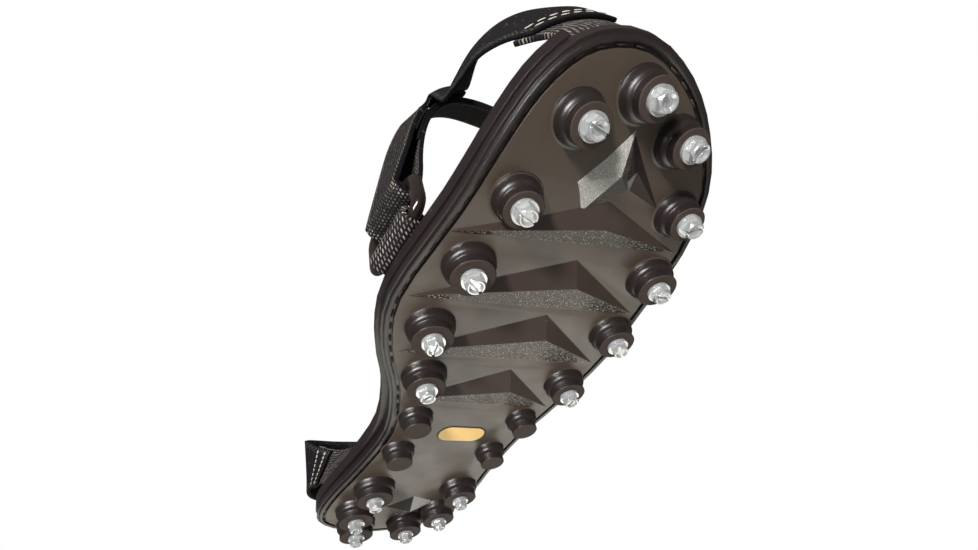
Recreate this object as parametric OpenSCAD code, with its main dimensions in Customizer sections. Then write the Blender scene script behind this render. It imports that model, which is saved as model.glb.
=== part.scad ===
// Strap-on ice cleat for a left shoe: a studded rubber sole with a toe strap, an instep strap and a heel band.
// Millimetres. +X points to the inner side of the foot, +Y to the toe, +Z up, with the stud tips at z = 0.

/* [Sole] */
// Length of the rubber sole
sole_l = 299; // [290:1:310]
// Reach of the ball of the foot to the inner side
ball_in = 52; // [50:0.5:55]
// Reach of the ball of the foot to the outer side
ball_out = 60; // [58:0.5:63]
// Reach of the waist to the inner side
waist_in = 27.5; // [26:0.5:30]
// Reach of the waist to the outer side
waist_out = 47.5; // [46:0.5:50]
// Reach of the heel to the inner side
heel_in = 39.5; // [38:0.5:42]
// Reach of the heel to the outer side
heel_out = 48; // [46:0.5:50]
// Thickness of the outsole plate
outsole_t = 5; // [4:0.5:7]
// Thickness of the midsole
midsole_t = 6; // [4:0.5:9]
// How far the midsole stands out past the outsole
midsole_out = 0.75; // [0.25:0.25:2]
// How much more it stands out at the inner side of the waist
waist_flare = 2.5; // [0.5:0.25:3.5]
// Thickness of the felt footbed
footbed_t = 1.5; // [1:0.25:2.5]
// Distance of the footbed's edge from the sole's edge
footbed_in = 9; // [8.5:0.25:12]
// Radius of the upward bend of the toe
spring_r = 281; // [250:1:360]
// Length of the bent part behind the toe end
spring_l = 72; // [64:1:76]

/* [Bosses] */
// Height of the bosses below the plate
boss_h = 8.4; // [7:0.2:10]
// Face diameter of the toe bosses
toe_boss_d = 13.5; // [12:0.25:15]
// Face diameter of the ball bosses
ball_boss_d = 16; // [14:0.25:16.5]
// Face diameter of the heel bosses
heel_boss_d = 18.5; // [16:0.25:19]
// Face diameter of the plain bosses in the waist
arch_boss_d = 12.5; // [10:0.25:14]
// Width of the rounded shoulder round a boss
shoulder_w = 1.5; // [1.2:0.1:2]

/* [Screws] */
// Diameter of the washer flange
washer_d = 9; // [8:0.1:11]
// Thickness of the washer flange
washer_t = 1.2; // [0.8:0.1:1.6]
// Width across the flats of the hex head
hex_af = 6.35; // [5.5:0.05:7]
// Height of the hex head
hex_h = 3.4; // [3:0.1:5]
// Width of the screwdriver slot
slot_w = 1.2; // [0.8:0.1:1.6]
// Depth of the screwdriver slot
slot_depth = 1.4; // [1:0.1:2.4]
// Diameter of the shank
shank_d = 4.2; // [3.5:0.1:5]
// Length of the shank
shank_l = 9.5; // [8:0.5:11]
// Clearance round the shank
bore_clear = 0.15; // [0.05:0.05:0.3]

/* [Tread] */
// Height of the chevron lugs
lug_h = 4.25; // [3:0.25:5]
// Height of the arrow lug at the toe
arrow_h = 3.5; // [2.5:0.25:5]
// Height of the lug at the heel
heel_lug_h = 4; // [3:0.25:5]
// Distance of the stitch groove from the sole's edge
groove_in = 3; // [2.4:0.1:4]
// Width of the stitch groove
groove_w = 1.6; // [1.2:0.1:2]
// Depth of the stitch groove
groove_depth = 1.2; // [0.8:0.1:1.6]
// Length of one stitch
stitch_l = 3.6; // [2.5:0.1:5]
// Distance from stitch to stitch
stitch_pitch = 6.6; // [6:0.1:9]
// Width of the thread
stitch_w = 0.9; // [0.6:0.1:1.1]
// Thickness of the thread
stitch_t = 0.7; // [0.5:0.1:0.8]
// Length of the inlay
badge_l = 26; // [20:0.5:28]
// Width of the inlay
badge_w = 13; // [10:0.5:15]
// Thickness of the inlay
badge_t = 1; // [0.8:0.1:1.5]
// Depth of the inlay's recess
badge_depth = 0.8; // [0.6:0.1:1]

/* [Straps] */
// Thickness of the webbing
web_t = 2; // [1.5:0.1:2.4]
// Thickness of the instep strap, its free end and the heel band
strap_t = 2; // [1.5:0.1:2.4]
// Thickness of the toe strap
toe_strap_t = 1.6; // [1.2:0.1:2]
// Thickness of the hook patches and the loop patch
patch_t = 1; // [0.8:0.1:1.2]
// Gap between hooks and loops
hook_gap = 0.4; // [0.3:0.05:0.6]
// Thickness of the sewing thread on the straps
thread_t = 0.4; // [0.3:0.05:0.6]
// Distance of the instep strap's front edge from the toe end
instep_back = 83; // [80:1:86]
// Width of the instep strap
instep_w = 25; // [23:0.5:28]
// Height of the instep strap's front edge above the midsole
instep_h = 108; // [102:1:114]
// How much higher the instep strap's rear edge is
instep_rise = 22; // [18:1:25]
// Height of the heel band's upper edge above the midsole
heel_band_h = 57; // [52:1:62]
// Height of the heel band's lower edge above the midsole
heel_band_low = 11; // [8:0.5:14]
// How far the heel band stands behind the heel
heel_band_back = 11; // [9:0.5:14]

/* [Ring] */
// Diameter of the ring's bars
ring_tube = 5; // [4:0.25:5.5]
// Width of the ring's ends
ring_end = 7; // [5:0.25:8]
// Distance between the ring's two bars
ring_bars = 20; // [19:0.25:22]
// Radius of the ring's corners
ring_corner = 5; // [4.5:0.25:6]
// Height of the lower bar above the midsole
ring_low = 6; // [5.8:0.1:7]
// Room for the upper bar in the strap's fold
ring_room = 1.2; // [1.1:0.1:2]

/* [Hidden] */
$fn = 48;

// Levels
head_h = hex_h + washer_t;
z_face = head_h;
z_under = z_face + boss_h;
z_seam = z_under + outsole_t;
z_top = z_seam + midsole_t;
z_bed = z_top + footbed_t;
bevel = 1.2;
root = 1;
sink = 0.5;

// Toe and heel ends, and the bend
heel_y = -150;
toe_y = heel_y + sole_l;
function toe(d) = toe_y - d;
function heel(d) = heel_y + d;
spring_y = toe(spring_l);
bend_z = z_under + spring_r;
bend_step = 2.5;
bend_n = 7;

// Small helpers
function unit(v) = v / norm(v);
function mix(a, b, t) = a + (b - a) * t;
function cat(a, b, c, d, t) = (2 * b + (c - a) * t + (2 * a - 5 * b + 4 * c - d) * t * t
    + (3 * b - a - 3 * c + d) * t * t * t) / 2;
function loop_curve(p, n) = let (m = len(p)) [for (i = [0 : m - 1]) for (k = [0 : n - 1])
    cat(p[(i + m - 1) % m], p[i], p[(i + 1) % m], p[(i + 2) % m], k / n)];
function open_curve(p, n) = let (m = len(p) - 1) [for (i = [0 : m - 1]) for (k = [0 : n - 1])
    cat(p[max(i - 1, 0)], p[i], p[i + 1], p[min(i + 2, m)], k / n), p[m]];
function inset(p, d) = let (m = len(p)) [for (i = [0 : m - 1])
    let (t = unit(p[(i + 1) % m] - p[(i + m - 1) % m])) p[i] + d * [t.y, -t.x]];

// Outline of the sole, from the toe down the inner side, round the heel and up the outer side
outline_n = 3;
outline_pts = [
    [6, toe(0)], [0.46 * ball_in, toe(6)], [0.66 * ball_in, toe(18.5)], [0.77 * ball_in, toe(36)],
    [0.865 * ball_in, toe(67)], [ball_in, toe(107)], [0.895 * ball_in, toe(134)],
    [mix(waist_in, ball_in, 0.29), heel(139)], [waist_in, heel(108)], [mix(waist_in, heel_in, 0.33), heel(76)],
    [0.96 * heel_in, heel(46)], [heel_in, heel(25)], [0.84 * heel_in, heel(11.5)], [0.36 * heel_in, heel(1.5)],
    [-0.17 * heel_out, heel(0)],
    [-0.67 * heel_out, heel(8.5)], [-0.92 * heel_out, heel(24)], [-heel_out, heel(50)], [-waist_out, heel(78)],
    [-mix(waist_out, ball_out, 0.17), heel(110)], [-mix(waist_out, ball_out, 0.68), heel(142)],
    [-ball_out, toe(121)], [-0.96 * ball_out, toe(89)], [-0.905 * ball_out, toe(59)],
    [-0.77 * ball_out, toe(34)], [-0.53 * ball_out, toe(16.5)], [-0.235 * ball_out, toe(4.5)]];
outline = loop_curve(outline_pts, outline_n);
flares = [for (i = [0 : len(outline_pts) - 1]) i == 6 || i == 9 ? 0.5 : i == 7 || i == 8 ? 1 : 0];
midsole_line = inset(loop_curve([for (i = [0 : len(outline_pts) - 1]) outline_pts[i] + [flares[i] * waist_flare, 0]],
    outline_n), -midsole_out);
heel_i = 14 * outline_n;
inner_edge = [for (i = [0 : heel_i]) [outline[i].y, outline[i].x]];
outer_edge = [for (i = [heel_i : len(outline)]) let (p = outline[i % len(outline)]) [p.y, p.x]];
function in_x(y, d) = lookup(y, inner_edge) - d;
function out_x(y, d) = lookup(y, outer_edge) + d;

// Places of the bosses on the underside
toe_bosses = [[0.355 * ball_in, toe(28)], [0.03 * ball_in, toe(15)], [-0.315 * ball_out, toe(23)],
    [out_x(toe(45), 14.5), toe(45)], [in_x(toe(57), 17.5), toe(57)]];
ball_bosses = [[in_x(toe(85.5), 18.5), toe(85.5)], [in_x(toe(117.5), 19), toe(117.5)],
    [in_x(toe(146), 17), toe(146)], [out_x(toe(73), 11), toe(73)], [out_x(toe(105), 11), toe(105)],
    [out_x(toe(141.5), 12.5), toe(141.5)]];
heel_bosses = [[in_x(heel(57.5), 18.7), heel(57.5)], [in_x(heel(33), 19.5), heel(33)],
    [0.38 * heel_in, heel(14.5)], [-0.3 * heel_out, heel(15)], [-0.625 * heel_out, heel(30)],
    [out_x(heel(56), 15), heel(56)]];
arch_bosses = [[in_x(heel(123), 13), heel(123)], [out_x(heel(126.5), 14.5), heel(126.5)],
    [in_x(heel(94.5), 12.5), heel(94.5)], [out_x(heel(96), 13.5), heel(96)]];
all_bosses = concat([for (b = toe_bosses) [b, toe_boss_d]], [for (b = ball_bosses) [b, ball_boss_d]],
    [for (b = heel_bosses) [b, heel_boss_d]], [for (b = arch_bosses) [b, arch_boss_d]]);
badge_y = heel(109.5);
badge_x = mix(in_x(badge_y, 0), out_x(badge_y, 0), 0.52);

// Path of the rim seam
seam_path = inset(outline, groove_in + groove_w / 2);
seam_m = len(seam_path);
seam_at = [for (i = 0, s = 0; i <= seam_m;
    s = s + norm(seam_path[(i + 1) % seam_m] - seam_path[i % seam_m]), i = i + 1) s];
seam_x = [for (i = [0 : seam_m]) [seam_at[i], seam_path[i % seam_m].x]];
seam_y = [for (i = [0 : seam_m]) [seam_at[i], seam_path[i % seam_m].y]];
seam_n = floor(seam_at[seam_m] / stitch_pitch);
function seam_pt(s) = [lookup(s, seam_x), lookup(s, seam_y)];
function boss_room(p) = min([for (b = all_bosses) norm(p - b[0]) - b[1] / 2 - shoulder_w - root]);

// Places on the bent sole
function bend_angle(y) = y > spring_y ? asin((y - spring_y) / spring_r) : 0;
function level(z) = concat([[heel_y - 20, z], [spring_y, z]],
    [for (i = [1 : bend_n]) [spring_y + (bend_z - z) * sin(i * bend_step), bend_z - (bend_z - z) * cos(i * bend_step)]]);
function reverse(p) = [for (i = [len(p) - 1 : -1 : 0]) p[i]];
function seam_z(y) = y > spring_y ? bend_z - sqrt(pow(bend_z - z_seam, 2) - pow(y - spring_y, 2)) : z_seam;

// Puts the middle of the whole, straps included, over the origin
module place() {
    translate([-whole_x, -whole_y, 0]) children();
}

module on_sole(p) {
    translate([p.x, min(p.y, spring_y), bend_z]) rotate([bend_angle(p.y), 0, 0]) translate([0, 0, -bend_z]) children();
}

// A slice of the sole between two levels that follow the bend
module slice(z0, z1) {
    intersection() {
        translate([0, 0, z0 - 5]) linear_extrude(height = z1 - z0 + 45) children();
        rotate([90, 0, 90]) linear_extrude(height = 200, center = true) polygon(concat(level(z0), reverse(level(z1))));
    }
}

// Tread
function boss_profile(d) = let (r = d / 2, b = r + shoulder_w, f = 1.5 * shoulder_w, zs = z_under - 2.6) concat(
    [[0, z_face], [r - 0.3, z_face], [r, z_face + 0.3], [r, zs - f - 0.4], [r + 0.08 * shoulder_w, zs - 0.95 * f]],
    [for (a = [-60 : 20 : 0]) [b - f + f * cos(a), zs + f * sin(a)]],
    [[b, z_under - root], [b + 0.3 * root, z_under - 0.3 * root], [b + root, z_under], [b + root, z_under + 1],
    [0, z_under + 1]]);

module boss(d) {
    rotate_extrude() polygon(boss_profile(d));
}

module bore() {
    translate([0, 0, z_face - 1]) cylinder(d = shank_d + 2 * bore_clear, h = 1 + shank_l + 0.8);
}

// The side of a plane away from the point "keep"; the plane runs through p, q and k
module beyond(p, q, k, keep) {
    n0 = unit(cross(q - p, k - p));
    n = n0 * (keep - p) > 0 ? -n0 : n0;
    x = unit(q - p);
    y = cross(n, x);
    multmatrix([[x.x, y.x, n.x, p.x], [x.y, y.y, n.y, p.y], [x.z, y.z, n.z, p.z], [0, 0, 0, 1]])
        translate([-200, -200, 0]) cube([400, 400, 150]);
}

// A lug with its base in the plate and its crest below it, in the frame of the plate
module lug(base, crest, h) {
    m = len(base);
    wide = [for (b = base) concat(mix(crest, b, (h + sink) / h), sink)];
    k = concat(crest, -h);
    translate([0, 0, z_under]) difference() {
        translate([-80, -60, -h - 1]) cube([160, 120, h + 1 + sink]);
        for (i = [0 : m - 1]) beyond(wide[i], wide[(i + 1) % m], k, [k.x, k.y, sink]);
    }
}

module chevron(d, fx, l_in, l_back, r_in, r_back, kx, k_back) {
    m = l_back / 2;
    on_sole([0, toe(d + m)]) lug([[in_x(toe(d + l_back), l_in), m - l_back], [fx, m],
        [out_x(toe(d + r_back), r_in), m - r_back]], [kx, m - k_back], lug_h);
}

module arrow_lug() {
    on_sole([0, toe(40)]) {
        lug([[-2.5, 14], [8, -5.5], [0.5, -13], [-11, -2.5], [-8.5, 5]], [-3.5, 1.5], arrow_h);
        lug([[-2.5, 14], [-9, -1], [-12, -2.5], [-27.5, -5.5]], [-8, 4.5], arrow_h);
    }
}

module heel_lug() {
    translate([-11, heel(33), 0]) lug([[14, 0], [1, 12], [-14, 5], [1, -15]], [0, 1], heel_lug_h);
}

// All the lugs, kept inside the stitch groove
module tread() {
    intersection() {
        translate([0, 0, z_face]) linear_extrude(height = 40) polygon(inset(outline, groove_in + groove_w + 0.6));
        union() {
            chevron(49, -7.3, 6, 25, 6.5, 10.5, -9, 8);
            chevron(73.5, -9.3, 6, 31.5, 6, 19.5, -14, 10);
            chevron(102, -12.7, 6, 32.5, 6, 24.5, -17, 10.5);
            chevron(137, -14, 6, 27, 6, 25.5, -18, 11);
            arrow_lug();
            heel_lug();
        }
    }
}

module stadium(l, w) {
    square([l - w, w], center = true);
    for (s = [-1, 1]) translate([s * (l - w) / 2, 0]) circle(d = w);
}

module outsole() {
    color("#3a322e") place() difference() {
        union() {
            difference() {
                union() {
                    slice(z_under, z_under + bevel) polygon(inset(outline, bevel));
                    slice(z_under + bevel, z_seam) polygon(outline);
                }
                slice(z_under - 1, z_under + groove_depth) difference() {
                    polygon(inset(outline, groove_in));
                    polygon(inset(outline, groove_in + groove_w));
                }
                translate([badge_x, badge_y, z_under - 1]) linear_extrude(height = 1 + badge_depth)
                    stadium(badge_l + 0.2, badge_w + 0.2);
            }
            for (b = all_bosses) on_sole(b[0]) boss(b[1]);
            tread();
        }
        for (b = concat(toe_bosses, ball_bosses, heel_bosses)) on_sole(b) bore();
    }
}

// The midsole leaves the toe's rim free for the toe webbing
module midsole() {
    color("#2a2422") place() slice(z_seam, z_top) difference() {
        polygon(midsole_line);
        intersection() {
            difference() {
                polygon(inset(outline, -midsole_out - 2));
                polygon(inset(outline, notch_in));
            }
            translate([toe_x0 - 2.5, toe(14.5)]) square([toe_x1 - toe_x0 + 5.5, 40]);
        }
    }
}

module footbed() {
    color("#4a4642") place() slice(z_top, z_bed) polygon(inset(outline, footbed_in));
}

module rim_stitching() {
    color("#8a8378") place() slice(z_under + groove_depth - stitch_t, z_under + groove_depth)
        for (i = [0 : seam_n - 1]) {
            s = (i + 0.5) * stitch_pitch;
            p = seam_pt(s);
            t = seam_pt(s + 1) - seam_pt(s - 1);
            if (boss_room(p) > stitch_l / 2 + 0.5)
                translate(p) rotate(atan2(t.y, t.x)) square([stitch_l, stitch_w], center = true);
        }
}

module sole_badge() {
    color("#f5cf76") place() translate([badge_x, badge_y, z_under + badge_depth - badge_t])
        linear_extrude(height = badge_t) stadium(badge_l, badge_w);
}

// Hex washer-head screw, its tip down at z = 0
module screw() {
    difference() {
        union() {
            intersection() {
                cylinder(d = hex_af / cos(30), h = hex_h + 0.1, $fn = 6);
                cylinder(d1 = hex_af - 0.4, d2 = hex_af + 4, h = hex_h + 0.1);
            }
            translate([0, 0, hex_h]) cylinder(d = washer_d, h = washer_t);
            translate([0, 0, hex_h + washer_t - 0.1]) cylinder(d = shank_d, h = shank_l - 1.9);
            translate([0, 0, hex_h + washer_t + shank_l - 2]) cylinder(d1 = shank_d, d2 = 1, h = 2);
        }
        translate([0, 0, slot_depth / 2 - 0.5]) cube([washer_d, slot_w, slot_depth + 1], center = true);
        translate([0, 0, -0.1]) cylinder(d1 = hex_af - 1.2, d2 = hex_af - 3, h = 0.9);
    }
}

module screws(list, turn) {
    color("#b9bcc0") place() for (i = [0 : len(list) - 1]) on_sole(list[i]) rotate(turn + 47 * i) screw();
}

module toe_screws() {
    screws(toe_bosses, 10);
}

module ball_screws() {
    screws(ball_bosses, 35);
}

module heel_screws() {
    screws(heel_bosses, 70);
}

// A strap is a list of two edges, the directions out from the shoe, and the camber at its two ends
function normals(a, b, foot_first, foot_last) = let (m = len(a) - 1) [for (k = [0 : m])
    let (t = a[min(k + 1, m)] + b[min(k + 1, m)] - a[max(k - 1, 0)] - b[max(k - 1, 0)], n = unit(cross(t, b[k] - a[k])))
    (k == 0 && foot_first) || (k == m && foot_last) ? unit([n.x, n.y, 0]) : n];
function pick(p, k) = let (i = max(0, min(floor(k), len(p) - 2))) mix(p[i], p[i + 1], k - i);
function surf(s, k, v, o) = mix(pick(s[0], k), pick(s[1], k), v)
    + pick(s[2], k) * (o + 4 * mix(s[3], s[4], k / (len(s[0]) - 1)) * v * (1 - v));
function rings(k0, k1) = concat([k0], [for (k = [floor(k0) + 1 : ceil(k1) - 1]) k], [k1]);

// A piece of a strap from station k0 to k1, from edge share v0 to v1, and from height o0 to o1 above its face
module band(s, k0, k1, v0, v1, o0, o1, m = 4) {
    ks = rings(k0, k1);
    q = 2 * (m + 1);
    e = len(ks) - 1;
    points = [for (k = ks) each concat(
        [for (j = [0 : m]) surf(s, k, mix(v0, v1, j / m), o0)],
        [for (j = [m : -1 : 0]) surf(s, k, mix(v0, v1, j / m), o1)])];
    sides = [for (i = [0 : e - 1]) for (j = [0 : q - 1]) let (a = i * q + j, b = i * q + (j + 1) % q)
        each [[a, a + q, b], [b, a + q, b + q]]];
    caps = [for (j = [0 : m - 1]) each [[j, j + 1, q - 1 - j], [j + 1, q - 2 - j, q - 1 - j],
        [e * q + j, e * q + q - 1 - j, e * q + j + 1], [e * q + j + 1, e * q + q - 1 - j, e * q + q - 2 - j]]];
    polyhedron(points = points, faces = concat(sides, caps));
}

// A row of stitches across a strap
module thread_row(s, k, len_k, v0, v1, n, o) {
    for (i = [0 : n - 1])
        band(s, k, k + len_k, mix(v0, v1, (i + 0.2) / n), mix(v0, v1, (i + 0.8) / n), o + lay, o + lay + thread_t, 1);
}

// Frame of the ring and the fold at the inner side: out from the shoe, along the edge, up
front_y = toe(instep_back);
rear_y = front_y - instep_w;
strap_in = 4.5;
front_x = in_x(front_y, strap_in);
rear_x = in_x(rear_y, strap_in);
ring_turn = atan2(rear_x - front_x, instep_w);
ring_mid = [(front_x + rear_x) / 2, (front_y + rear_y) / 2];
half_w = norm([rear_x - front_x, instep_w]) / 2;
fold_r = ring_tube / 2 + ring_room + strap_t;
ring_o = fold_r;
low_z = z_top + ring_low;
bar_z = low_z + ring_bars;
function ring_pt(o, l, z) = [ring_mid.x + o * cos(ring_turn) - l * sin(ring_turn),
    ring_mid.y + o * sin(ring_turn) + l * cos(ring_turn), z];

// Middle of the whole
whole_x = (ring_pt(ring_o + fold_r, -half_w, 0).x - ball_out - midsole_out) / 2;
whole_y = (toe_y + heel(-heel_band_back) - strap_t) / 2;

module in_ring_frame() {
    translate([ring_mid.x, ring_mid.y, 0]) rotate([0, 0, ring_turn]) children();
}

// Instep strap: round the upper bar, then over the instep as a squarish arch
foot_in = 5.5;
arch_power = 0.69;
front_lean = 16;
rear_lean = 23;
arch_first = 12;
arch_step = 4;
foot_gap = 0.05;
lay = 0.1;
function arch_pt(x_in, x_out, y, lean, h, a) = let (up = pow(sin(a), arch_power)) [(x_in + x_out) / 2
    + (x_in - x_out) / 2 * sign(cos(a)) * pow(abs(cos(a)), arch_power),
    y + lean * pow(up, 1.3), z_top + foot_gap + h * up];
function front_arch(a) = arch_pt(front_x, out_x(front_y, foot_in), front_y, front_lean, instep_h, a);
function rear_arch(a) = arch_pt(rear_x, out_x(rear_y, foot_in), rear_y, rear_lean, instep_h + instep_rise, a);
fold_n = 8;
fold = [for (i = [0 : fold_n]) let (a = -180 * i / fold_n) [ring_o + fold_r * cos(a), bar_z + fold_r * sin(a)]];
arch_angles = [arch_first : arch_step : 180];
instep_a = concat([for (p = fold) ring_pt(p.x, half_w, p.y)], [for (a = arch_angles) front_arch(a)]);
instep_b = concat([for (p = fold) ring_pt(p.x, -half_w, p.y)], [for (a = arch_angles) rear_arch(a)]);
instep = [instep_a, instep_b, normals(instep_a, instep_b, false, true), 0, 0];
instep_end = len(instep_a) - 1;
function arch_k(a) = fold_n + 1 + (a - arch_first) / arch_step;

// Free end: up from the fold and down onto the loop patch
tab_o = strap_t + lay + patch_t + hook_gap + patch_t + lay;
tab_first = 20;
tab_last = 44;
tab_o0 = ring_o + fold_r - strap_t;
tab_z0 = bar_z + 0.6;
tab_rise = [[tab_o0, tab_z0], [tab_o0 - 0.2, tab_z0 + 3]];
tab_angles = [tab_first : arch_step : tab_last];
function tab_side(l, v) = concat([for (p = tab_rise) ring_pt(p.x, l, p.y)],
    [for (a = tab_angles) surf(instep, arch_k(a), v, tab_o + 1.4 * pow((tab_last - a) / (tab_last - tab_first), 2))]);
tab_a = tab_side(half_w, 0);
tab_b = tab_side(-half_w, 1);
tab = [tab_a, tab_b, normals(tab_a, tab_b, true, false), 0, 0];
tab_end = len(tab_a) - 1;

// Toe strap: up from the toe's rim, over the toe cap and onto the instep strap
toe_gap = 0.4;
toe_x0 = -1;
toe_x1 = 26.5;
notch_in = toe_strap_t + web_t + 1.8;
land_o = strap_t + lay + patch_t + hook_gap + patch_t + lay + toe_strap_t + 0.4;
land_in = 52;
land_out = 76;
function toe_foot(x, d) = [x, toe(d), seam_z(toe(d)) + toe_gap];
function land(a, v, o) = surf(instep, arch_k(a), v, o);
toe_a = open_curve([toe_foot(toe_x0, 0.7), [-0.5, toe(0), z_top + 15], [2, toe(0.5), z_top + 25],
    [6.5, toe(2), z_top + 35], [12, toe(5), z_top + 48], [24, toe(15), z_top + 60], [30, toe(27), z_top + 67],
    [29, toe(40), z_top + 74], [23, toe(54), z_top + 88], land(land_out, 0, land_o + 1.5),
    land(land_out, 0.3, land_o), land(land_out, 0.6, land_o)], 3);
toe_b = open_curve([toe_foot(toe_x1, 9.2), [29, toe(10.5), z_top + 12], [31.5, toe(13.5), z_top + 18],
    [34.5, toe(18), z_top + 24], [38, toe(24), z_top + 31], [41, toe(32), z_top + 37], [41, toe(42), z_top + 44],
    [39.5, toe(51), z_top + 55], [37.5, toe(60), z_top + 70], land(land_in, 0, land_o + 1.5),
    land(land_in, 0.3, land_o), land(land_in, 0.6, land_o)], 3);
toe_surf = [toe_a, toe_b, normals(toe_a, toe_b, true, false), 3, 1.8];
toe_end = len(toe_a) - 1;
toe_seam = 7;

// Heel band: from the inner rim round the back of the heel to the outer rim
heel_x = (heel_in - heel_out) / 2;
function heel_side(foot_x, s) = let (w = 48.5) [
    [foot_x, heel(72), z_top + foot_gap],
    [mix(foot_x, heel_x + s * w, 0.08), heel(68), z_top + 0.1 * heel_band_h],
    [mix(foot_x, heel_x + s * w, 0.42), heel(52), z_top + 0.22 * heel_band_h],
    [mix(foot_x, heel_x + s * w, 0.76), heel(37), z_top + 0.4 * heel_band_h],
    [heel_x + s * w, heel(22), z_top + 0.62 * heel_band_h],
    [heel_x + s * 46, heel(5), z_top + 0.83 * heel_band_h],
    [heel_x + s * 26, heel(3 - heel_band_back), z_top + 0.96 * heel_band_h]];
function heel_low(foot_x, s) = let (w = 45.5) [
    [foot_x, heel(34), z_top + foot_gap],
    [mix(foot_x, heel_x + s * w, 0.15), heel(32), z_top + 0.4 * heel_band_low],
    [mix(foot_x, heel_x + s * w, 0.55), heel(26), z_top + 0.6 * heel_band_low],
    [mix(foot_x, heel_x + s * w, 0.9), heel(19), z_top + 0.75 * heel_band_low],
    [heel_x + s * w, heel(11), z_top + 0.85 * heel_band_low],
    [heel_x + s * 40, heel(1), z_top + 0.92 * heel_band_low],
    [heel_x + s * 23, heel(3 - heel_band_back), z_top + 0.97 * heel_band_low]];
heel_a = open_curve(concat(heel_side(in_x(heel(72), foot_in), 1), [[heel_x, heel(-heel_band_back), z_top + heel_band_h]],
    reverse(heel_side(out_x(heel(72), foot_in), -1))), 3);
heel_b = open_curve(concat(heel_low(in_x(heel(34), foot_in), 1), [[heel_x, heel(-heel_band_back), z_top + heel_band_low]],
    reverse(heel_low(out_x(heel(34), foot_in), -1))), 3);
heel_surf = [heel_a, heel_b, normals(heel_a, heel_b, true, true), 0, 0];
heel_end = len(heel_a) - 1;
heel_seam = 7;
heel_lap = 3;

module toe_anchor() {
    color("#26242a") place() band(toe_surf, 0, toe_seam + 3, 0, 1, -toe_strap_t - lay - web_t, -toe_strap_t - lay);
}

module toe_strap() {
    color("#1e1c1f") place() band(toe_surf, toe_seam, toe_end, 0, 1, -toe_strap_t, 0);
}

module toe_hook_patch() {
    color("#151416") place() band(toe_surf, toe_end - 6, toe_end, 0, 1, -toe_strap_t - lay - patch_t, -toe_strap_t - lay);
}

module toe_stitching() {
    color("#8c8a86") place() for (k = [0.6, 2]) thread_row(toe_surf, toe_seam + k, 0.3, 0.05, 0.95, 6, 0);
}

// Webbing path folded over the lower bar, in the ring's frame
loop_r = ring_tube / 2 + 0.6 + web_t / 2;
foot_o = in_x(ring_mid.y, foot_in) - ring_mid.x;
anchor_path = concat([[foot_o + 1.6, z_top + foot_gap], [foot_o + 1.6, z_top + 1.2], [foot_o + 2, z_top + 3]],
    [for (a = [175 : -14.5 : -115]) [ring_o + loop_r * cos(a), low_z + loop_r * sin(a)]]);
function path_side(p, d) = let (m = len(p) - 1) [for (i = [0 : m])
    let (t = unit(unit(p[min(i + 1, m)] - p[min(i, m - 1)]) + unit(p[max(i, 1)] - p[max(i - 1, 0)])))
    p[i] + d * [-t.y, t.x]];

module instep_anchor_inner() {
    color("#26242a") place() in_ring_frame() rotate([90, 0, 0]) linear_extrude(height = 2 * half_w, center = true)
        polygon(concat(path_side(anchor_path, web_t / 2), reverse(path_side(anchor_path, -web_t / 2))));
}

// Oval ring, swept along a rounded rectangle, its ends wider than its bars
ring_a = half_w + 0.6 + ring_end / 2 - ring_corner;
ring_b = ring_bars / 2 - ring_corner;
ring_path = [for (q = [0 : 3]) for (i = [0 : 5]) let (a = 90 * q + 18 * i, c = 90 * q + 45)
    [sign(cos(c)) * ring_a + ring_corner * cos(a), sign(sin(c)) * ring_b + ring_corner * sin(a), a]];
ring_q = 12;

module instep_ring() {
    n = len(ring_path);
    color("#2b2220") place() in_ring_frame() translate([ring_o, 0, low_z + ring_bars / 2]) polyhedron(
        points = [for (p = ring_path) for (j = [0 : ring_q - 1])
            let (r = mix(ring_tube, ring_end, pow(cos(p.z), 2)) / 2, w = 360 * j / ring_q)
            [ring_tube / 2 * cos(w), p.x + r * sin(w) * cos(p.z), p.y + r * sin(w) * sin(p.z)]],
        faces = [for (i = [0 : n - 1]) for (j = [0 : ring_q - 1])
            let (a = i * ring_q, b = ((i + 1) % n) * ring_q, k = (j + 1) % ring_q)
            each [[a + j, b + j, a + k], [a + k, b + j, b + k]]]);
}

module instep_strap() {
    color("#1e1c1f") place() band(instep, 0, arch_k(160), 0, 1, 0, strap_t);
}

module instep_loop_patch() {
    color("#2c2a2e") place() band(instep, arch_k(24), arch_k(100), 0, 1, strap_t + lay, strap_t + lay + patch_t);
}

module instep_tab() {
    color("#1e1c1f") place() band(tab, 0, tab_end, 0, 1, 0, strap_t);
}

module tab_hook_patch() {
    color("#151416") place() band(tab, 4, tab_end, 0, 1, -lay - patch_t, -lay);
}

module instep_anchor_outer() {
    color("#26242a") place() band(instep, arch_k(148), instep_end, 0, 1, -lay - web_t, -lay);
}

module instep_stitching() {
    color("#8c8a86") place() for (a = [152, 156]) thread_row(instep, arch_k(a), 0.2, 0.05, 0.95, 7, strap_t);
}

module heel_anchor_inner() {
    color("#26242a") place() band(heel_surf, 0, heel_seam + heel_lap, 0, 1, -lay - web_t, -lay);
}

module heel_anchor_outer() {
    color("#26242a") place() band(heel_surf, heel_end - heel_seam - heel_lap, heel_end, 0, 1, -lay - web_t, -lay);
}

module heel_band() {
    color("#1e1c1f") place() band(heel_surf, heel_seam, heel_end - heel_seam, 0, 1, 0, strap_t);
}

module heel_stitching() {
    color("#8c8a86") place() for (k = [0.6, 2]) {
        thread_row(heel_surf, heel_seam + k, 0.2, 0.05, 0.95, 8, strap_t);
        thread_row(heel_surf, heel_end - heel_seam - k - 0.2, 0.2, 0.05, 0.95, 8, strap_t);
    }
}

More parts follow.
